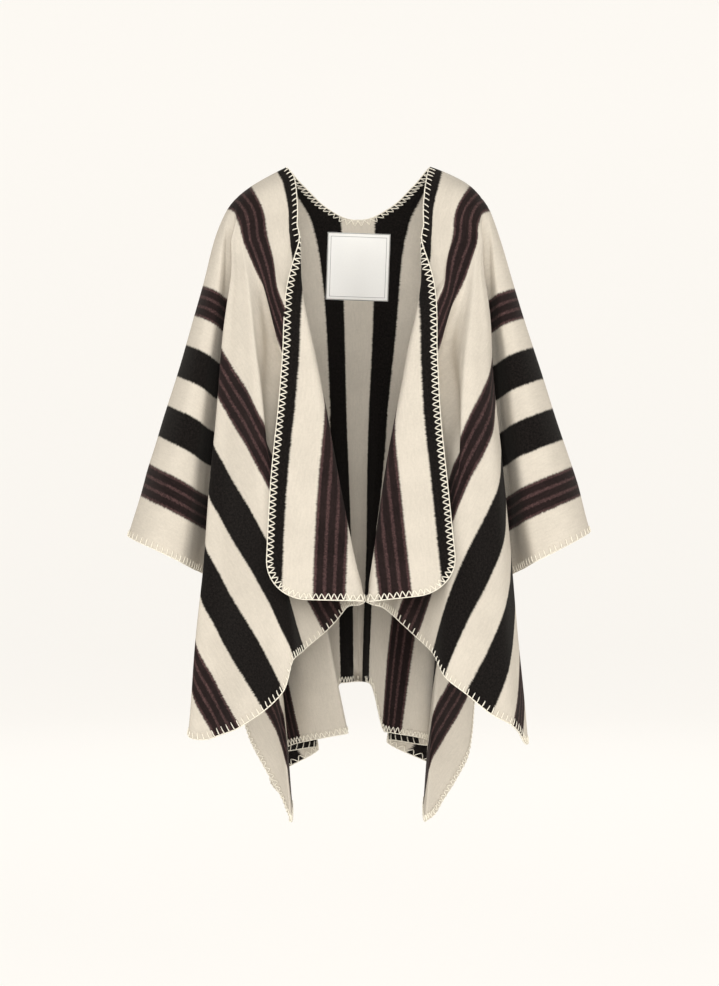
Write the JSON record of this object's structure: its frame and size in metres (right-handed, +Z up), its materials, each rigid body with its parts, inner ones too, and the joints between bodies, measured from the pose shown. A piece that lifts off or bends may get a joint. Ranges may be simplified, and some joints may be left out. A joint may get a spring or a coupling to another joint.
{
  "type": "wool blanket cape",
  "caption": "Open-front wool blanket cape with wide sleeves formed by the cloth, long turned-out lapels and a pointed trailing hem, in its hollow worn shape",
  "frame": {"origin": "midway between the two points where the neck opening meets the shoulders, on the line along which the cape rests on them", "axes": "+X to the viewer's right (the wearer's left), +Y away from the viewer, towards the wearer's back, +Z up"},
  "size_m": [0.7648, 0.4409, 1.0938],
  "materials": {
    "wool_cloth": "thick brushed wool in cream, with black and dark brown stripes",
    "woven_label": "smooth woven white patch"
  },
  "bodies": {
    "root": {"cape_body": "wool_cloth", "neck_label": "woven_label"}
  },
  "joints": []
}
